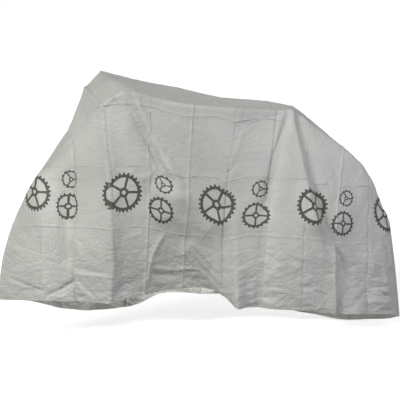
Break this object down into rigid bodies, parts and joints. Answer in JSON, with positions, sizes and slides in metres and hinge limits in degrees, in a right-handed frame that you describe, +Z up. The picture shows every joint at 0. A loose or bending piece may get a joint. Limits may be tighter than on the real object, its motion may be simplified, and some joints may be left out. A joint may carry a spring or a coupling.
{
  "type": "bicycle cover",
  "caption": "Fitted bicycle cover of thin plastic film, hanging hollow from a wide front and a narrow rear peak down to a plain open hem.",
  "frame": {"origin": "middle of the cover's box in plan, at the height of the lowest point of the hem", "axes": "+X from the front edge to the rear edge, +Y from the near side to the far side, +Z up"},
  "size_m": [1.914, 0.5498, 1.2163],
  "materials": {
    "film": "thin silver-grey film with a satin face, pressed packing creases and a charcoal printed band"
  },
  "bodies": {
    "root": {"cover": "film"}
  },
  "joints": []
}
